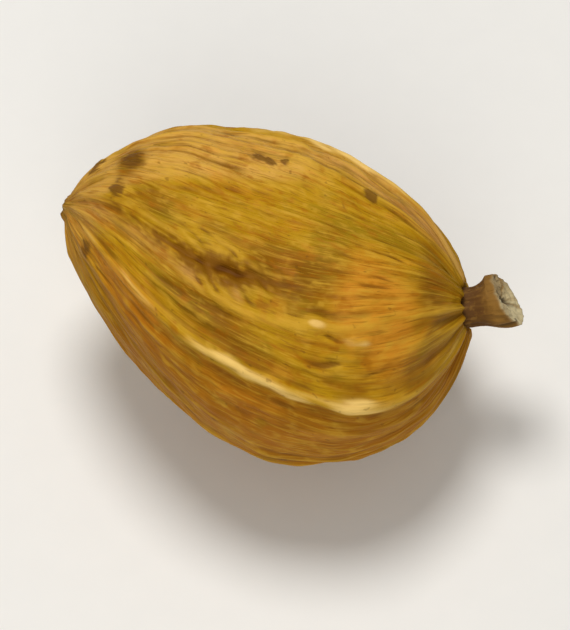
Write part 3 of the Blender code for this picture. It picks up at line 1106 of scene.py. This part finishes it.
def husk_material(husk):
    """Dried papery husk: shrunk plant fibre with a thin waxy skin.

    Its long fibres give streaks and a soft satin gleam, worn tops are pale straw, and the folds
    keep a dark brown, partly painted shade. Shade is also painted into its grooves, crease, low face
    and the dip round the stub, and highlights onto its shoulder, rim, seams and worn bumps.
    """
    material, tree, shader = new_material("dried_papery_husk")
    read = read_surface(
        tree,
        (
            "cavity", "broad", "low", "tan", "orange", "olive", "brown", "pink", "rib", "seam",
            "stain", "crease", "highlit_knuckle", "flake", "scar", "dip",
        ),
        (
            ("blotch", 1.1, 2.0, 3.0),
            ("mottle", 0.38, 0.62, 2.0),
            ("cloud", 0.70, 1.0, 2.0),
            ("streak", 0.13, 1.8, 3.0),
            ("fibre", 0.055, 0.7, 2.0),
            ("speck", 0.16, 0.22, 1.0),
        ),
    )
    colour = painted(
        tree,
        read,
        opaque(husk.face_colour),
        (
            # Partly painted highlight: the shoulder and the rim, which face the light, are painted
            # paler
            ("tan", 0.0, 1.0, 0.85, husk.tan_and_highlight_colour),
            ("olive", 0.0, 1.0, 0.80, husk.olive_colour),
            ("orange", 0.0, 0.9, 0.90, husk.orange_colour),
            # Partly painted shade: the low face is painted browner where the light doesn't reach it
            ("low", 0.0, 1.0, 0.80, husk.browner_and_shade_colour),
            ("brown", 0.0, 1.0, 0.90, husk.brown_colour),
            ("pink", 0.1, 1.0, 0.60, husk.lip_colour),
            ("blotch", 0.48, 0.30, 0.38, husk.browner_and_shade_colour),
            ("blotch", 0.54, 0.72, 0.40, husk.ridge_colour),
            ("cloud", 0.46, 0.28, 0.48, husk.olive_colour),
            ("cloud", 0.56, 0.74, 0.38, husk.orange_colour),
            ("mottle", 0.46, 0.30, 0.60, husk.browner_and_shade_colour),
            ("mottle", 0.54, 0.70, 0.50, husk.ridge_colour),
            # Partly painted highlight: the raised seams are painted pale
            ("seam", 0.15, 0.9, 0.85, husk.seam_and_highlight_colour),
            ("streak", 0.53, 0.70, 0.45, husk.ridge_colour),
            ("streak", 0.48, 0.30, 0.50, husk.browner_and_shade_colour),
            ("fibre", 0.54, 0.70, 0.40, husk.ridge_colour),
            ("fibre", 0.46, 0.30, 0.45, husk.brown_colour),
            # Painted shade and light: grooves darker and ridges paler by their relief, partly the
            # husk's darker valleys and worn tops
            ("broad", 0.1, 1.2, 0.25, husk.ridge_colour),
            ("broad", -0.1, -1.3, 0.55, husk.browner_and_shade_colour),
            ("cavity", -0.10, -1.1, 0.60, husk.groove_brown_and_shade_colour),
            ("cavity", 0.25, 1.2, 0.30, husk.ridge_colour),
            ("rib", 0.35, 1.0, 0.30, husk.ridge_colour),
            ("seam", 0.30, 1.0, 0.70, husk.seam_and_highlight_colour),
            ("stain", 0.03, 0.6, 0.90, husk.brown_colour),
            # Painted shade, partly dark brown, in the crease's floor and the folds
            ("crease", 0.08, 0.6, 0.90, husk.groove_brown_and_shade_colour),
            # Painted highlight on the worn bumps beside the crease
            ("highlit_knuckle", 0.25, 0.9, 0.75, husk.painted_highlight_colour),
            ("speck", 0.68, 0.78, 0.40, husk.scar_colour),
            ("flake", 0.05, 0.9, 0.80, husk.scar_colour),
            ("scar", 0.15, 0.9, 0.65, husk.scar_colour),
            # Painted shade in the dip round the stub's foot
            ("dip", 0.0, 1.0, 0.80, husk.groove_brown_and_shade_colour),
        ),
    )
    rough = add_node(
        tree,
        "ShaderNodeMapRange",
        {"Value": read["streak"], "From Min": 0.25, "From Max": 0.75, "To Min": 0.45, "To Max": 0.65},
    )
    height = add_node(
        tree,
        "ShaderNodeMath",
        {"Value": read["fibre"], "Value_001": read["mottle"]},
        operation="ADD",
    )
    dents = add_node(
        tree,
        "ShaderNodeBump",
        {"Height": height.outputs["Value"], "Strength": 0.8, "Distance": HUSK_BUMP_DISTANCE},
    )
    tree.links.new(colour, shader.inputs["Base Color"])
    tree.links.new(rough.outputs["Result"], shader.inputs["Roughness"])
    tree.links.new(dents.outputs["Normal"], shader.inputs["Normal"])
    shader.inputs["IOR"].default_value = 1.45
    shader.inputs["Specular IOR Level"].default_value = 0.10
    return material


def new_piece(name, mesh, material, node):
    """Links a finished piece, riding on the one body and standing for its node."""
    piece = bpy.data.objects.new(name, mesh)
    mesh.materials.append(material)
    bpy.context.scene.collection.objects.link(piece)
    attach(piece, "root")
    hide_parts(node)
    return piece


class POD_OT_husk(bpy.types.Operator):
    """Makes the husk: three ribbed faces, seams, crease, tip scar and collar"""

    bl_idname = "pod.husk"
    bl_label = "Make husk"

    def execute(self, context):
        husk = context.scene.pod_husk
        points, masks = husk_surface(husk)
        mesh = ring_mesh("ribbed_husk", points, masks)
        new_piece("ribbed_husk", mesh, husk_material(husk), "husk")
        return {"FINISHED"}


def stub_surface(stub):
    """The stub's points in the frame, and what its material reads at each of them."""
    way, angle = np.meshgrid(
        np.linspace(0, 1, stub.rings + 1)[1:-1],
        np.linspace(-math.pi, math.pi, stub.columns, endpoint=False),
        indexing="ij",
    )
    length = FOOT_DEPTH + STUB_PROUD
    side = np.clip(way / STUB_SIDE_SHARE, 0.0, 1.0)
    height = length * side**1.4
    neck = round_end(height, FOOT_RADIUS, FOOT_RADIUS)
    knob = eased((height / length - KNOB_FROM) / KNOB_FADE_IN)
    radius = neck + (stub.knob_radius - FOOT_RADIUS) * knob
    inward = np.clip((way - STUB_SIDE_SHARE) / (1 - STUB_SIDE_SHARE), 0.0, 1.0)
    on_end = inward > 0
    radius = np.where(on_end, stub.knob_radius * (1 - inward), radius)
    edge = eased(inward / 0.30)
    grain = np.stack(
        [FOOT_RADIUS * np.cos(angle), FOOT_RADIUS * np.sin(angle), height], axis=-1
    )
    fibre = 0.5 - 1.6 * np.abs(noise_at(grain, *STUB_FIBRE_NOISE))
    lump = noise_at(grain, *STUB_LUMP_NOISE)
    split = sum(bump(turned(angle - place), width) for place, width in SPLITS)
    swell = stub.fibre_height * (fibre + 1.2 * lump) - SPLIT_DEPTH * split * knob
    radius = radius + swell * (1 - edge) * eased(height / BARE_FOOT)
    radius = radius * (1 + OVAL * np.cos(2 * (angle - OVAL_ANGLE)) * knob)

    # The broken end: a torn rim round a slit-shaped hollow
    across = radius * np.cos(angle - SLIT_ANGLE)
    along_slit = radius * np.sin(angle - SLIT_ANGLE)
    slit = bump(across, SLIT_HALF_WIDTH) * bump(along_slit, SLIT_HALF_LENGTH) * on_end
    torn = noise_at(grain + radius[..., None], *STUB_TORN_NOISE)
    end_place = np.stack([across, along_slit, np.zeros_like(across)], axis=-1)
    end_fibre = noise_at(end_place, *STUB_END_NOISE)
    fade = eased((height / length - 0.55) / 0.45)
    height = height + fade * (TORN_HEIGHT * torn + END_FIBRE_HEIGHT * end_fibre)
    height = height - on_end * stub.hollow_depth * (0.35 * eased(inward / 0.75) + 0.9 * slit)
    height = np.minimum(height, length + BREAK_LIMIT)
    height = height + fade * BREAK_SLOPE * (radius * np.sin(angle) - stub.knob_radius)
    points = np.stack(
        [height - FOOT_DEPTH, radius * np.cos(angle), radius * np.sin(angle)], axis=-1
    )
    points = in_frame(points, pod_axes() @ collar_axes())
    # Painted light: the broken end is paler on one side, as if lit, and darker on the other as shade
    painted_lit_side = 0.5 + 0.9 * np.sin(angle) * (1 - 0.7 * inward) + 0.8 * lump
    values = {
        "end": eased((way - STUB_SIDE_SHARE + 0.03) / 0.05) * (0.45 + 0.55 * eased(painted_lit_side)),
        "knob": eased((height / length - 0.50) / 0.25),
        "slit": np.clip(slit, 0, 1),
        "split": np.clip(split * knob * (1 - edge), 0, 1),
        "fibre": np.clip(fibre, 0, 1),
        "grain": grain / MM,
    }
    return points, values


def stub_material(stub):
    """Dry stalk: bundled woody fibre with a thin brown bark, snapped off.

    It is rough and dull, with lengthwise fibres, a pale torn end painted paler on its lit side, and a
    dark slit in the pith that also carries painted shade, as its splits do.
    """
    material, tree, shader = new_material("snapped_woody_stalk")
    read = read_surface(
        tree,
        ("end", "knob", "slit", "split", "fibre"),
        (("streak", 0.06, 0.5, 3.0), ("mottle", 0.15, 0.2, 2.0)),
    )
    colour = painted(
        tree,
        read,
        opaque(stub.bark_colour),
        (
            ("knob", 0.0, 1.0, 0.85, stub.wood_colour),
            ("fibre", 0.0, 1.0, 0.60, stub.wood_colour),
            ("streak", 0.45, 0.25, 0.60, stub.bark_colour),
            # Pale torn end, painted paler on its lit side
            ("end", 0.0, 1.0, 0.95, stub.end_colour),
            ("mottle", 0.50, 0.72, 0.60, stub.wood_colour),
            # Painted shade, partly the dark pith, in the splits and the slit
            ("split", 0.0, 1.0, 0.80, stub.slit_shade_colour),
            ("slit", 0.1, 0.9, 0.90, stub.slit_shade_colour),
        ),
    )
    dents = add_node(
        tree,
        "ShaderNodeBump",
        {"Height": read["streak"], "Strength": 0.6, "Distance": STUB_BUMP_DISTANCE},
    )
    tree.links.new(colour, shader.inputs["Base Color"])
    tree.links.new(dents.outputs["Normal"], shader.inputs["Normal"])
    shader.inputs["Roughness"].default_value = 0.8
    shader.inputs["IOR"].default_value = 1.42
    return material


class POD_OT_stub(bpy.types.Operator):
    """Makes the stalk stub: a brown neck, a fibrous knob and a pale broken end"""

    bl_idname = "pod.stub"
    bl_label = "Make stalk stub"

    def execute(self, context):
        stub = context.scene.pod_stub
        points, values = stub_surface(stub)
        mesh = ring_mesh("fibrous_stub", points, values)
        new_piece("fibrous_stub", mesh, stub_material(stub), "stalk_stub")
        return {"FINISHED"}


def floor_material(stage):
    """Matt white board: it throws soft light back up and shows a gentle shadow."""
    material, tree, shader = new_material("matt_white_board")
    place = add_node(tree, "ShaderNodeTexCoord").outputs["Object"]
    texture = add_node(
        tree, "ShaderNodeTexNoise", {"Vector": place, "Scale": FLOOR_GRAIN, "Detail": 4.0}
    )
    tone = add_node(
        tree,
        "ShaderNodeMix",
        {
            "Factor_Float": texture.outputs["Fac"],
            "A_Color": opaque([FLOOR_DARKENING * c for c in stage.floor_colour]),
            "B_Color": opaque(stage.floor_colour),
        },
        data_type="RGBA",
    )
    tree.links.new(tone.outputs[2], shader.inputs["Base Color"])
    shader.inputs["Roughness"].default_value = 0.9
    return material


def from_angles(azimuth, elevation):
    """The direction towards a camera or a light at these angles."""
    return Vector(
        (
            math.sin(azimuth) * math.cos(elevation),
            -math.cos(azimuth) * math.cos(elevation),
            math.sin(elevation),
        )
    )


def aim(thing, direction, distance, target):
    """Puts a camera or a light at this distance from the target, facing it."""
    thing.location = target + direction * distance
    thing.rotation_mode = "QUATERNION"
    thing.rotation_quaternion = (-direction).to_track_quat("-Z", "Y")


def add_light(name, power, size, azimuth, elevation, distance, target, colour):
    """Adds a round soft light; its two angles are in degrees."""
    light = bpy.data.lights.new(name, "AREA")
    light.shape = "DISK"
    light.size = size
    light.energy = power
    light.color = colour
    thing = bpy.data.objects.new(name, light)
    bpy.context.scene.collection.objects.link(thing)
    aim(thing, from_angles(math.radians(azimuth), math.radians(elevation)), distance, target)


class POD_OT_stage(bpy.types.Operator):
    """Makes the pale floor, the soft lights and the camera"""

    bl_idname = "pod.stage"
    bl_label = "Make stage"

    def execute(self, context):
        scene = context.scene
        stage = scene.pod_stage
        mesh = bpy.data.meshes.new("floor")
        half = FLOOR_HALF
        corners = [(-half, -half, 0), (half, -half, 0), (half, half, 0), (-half, half, 0)]
        mesh.from_pydata(corners, [], [(0, 1, 2, 3)])
        mesh.materials.append(floor_material(stage))
        floor = bpy.data.objects.new("floor", mesh)
        scene.collection.objects.link(floor)

        low, high = CAD_BOX
        middle = (Vector(low) + Vector(high)) / 2
        add_light(
            "key",
            stage.key_power,
            size=0.04,
            azimuth=-140,
            elevation=76,
            distance=0.10,
            target=middle,
            colour=linear("#fffcf8"),
        )
        add_light(
            "fill",
            stage.fill_power,
            size=0.08,
            azimuth=10,
            elevation=40,
            distance=0.12,
            target=middle,
            colour=linear("#fffaf0"),
        )

        world = bpy.data.worlds.new("studio")
        world.use_nodes = True
        background = world.node_tree.nodes["Background"]
        background.inputs["Color"].default_value = opaque(linear(SURROUND_COLOUR))
        background.inputs["Strength"].default_value = SURROUND_STRENGTH
        scene.world = world
        scene.view_settings.view_transform = "Standard"

        camera = bpy.data.cameras.new("camera")
        camera.lens = CAMERA_LENS
        camera.clip_start = CAMERA_NEAR
        camera.clip_end = CAMERA_FAR
        thing = bpy.data.objects.new("camera", camera)
        scene.collection.objects.link(thing)
        aim(thing, from_angles(stage.azimuth, stage.elevation), CAMERA_DISTANCE, middle)
        scene.camera = thing
        return {"FINISHED"}


class POD_PT_panel(bpy.types.Panel):
    """Lists the pod's pieces in the 3D view's sidebar"""

    bl_idname = "POD_PT_panel"
    bl_label = "Cardamom pod"
    bl_space_type = "VIEW_3D"
    bl_region_type = "UI"
    bl_category = "Cardamom"

    def draw(self, context):
        for settings, operator in (
            (context.scene.pod_husk, "pod.husk"),
            (context.scene.pod_stub, "pod.stub"),
            (context.scene.pod_stage, "pod.stage"),
        ):
            box = self.layout.box()
            box.operator(operator)
            for name in settings.bl_rna.properties.keys():
                if name not in ("rna_type", "name"):
                    box.prop(settings, name)


CLASSES = (
    HuskSettings,
    StubSettings,
    StageSettings,
    POD_OT_husk,
    POD_OT_stub,
    POD_OT_stage,
    POD_PT_panel,
)


def register():
    for made in CLASSES:
        bpy.utils.register_class(made)
    bpy.types.Scene.pod_husk = PointerProperty(type=HuskSettings)
    bpy.types.Scene.pod_stub = PointerProperty(type=StubSettings)
    bpy.types.Scene.pod_stage = PointerProperty(type=StageSettings)


def unregister():
    del bpy.types.Scene.pod_husk
    del bpy.types.Scene.pod_stub
    del bpy.types.Scene.pod_stage
    for made in reversed(CLASSES):
        bpy.utils.unregister_class(made)


def main():
    register()
    bpy.ops.pod.husk()
    bpy.ops.pod.stub()
    bpy.ops.pod.stage()


if __name__ == "__main__":
    main()
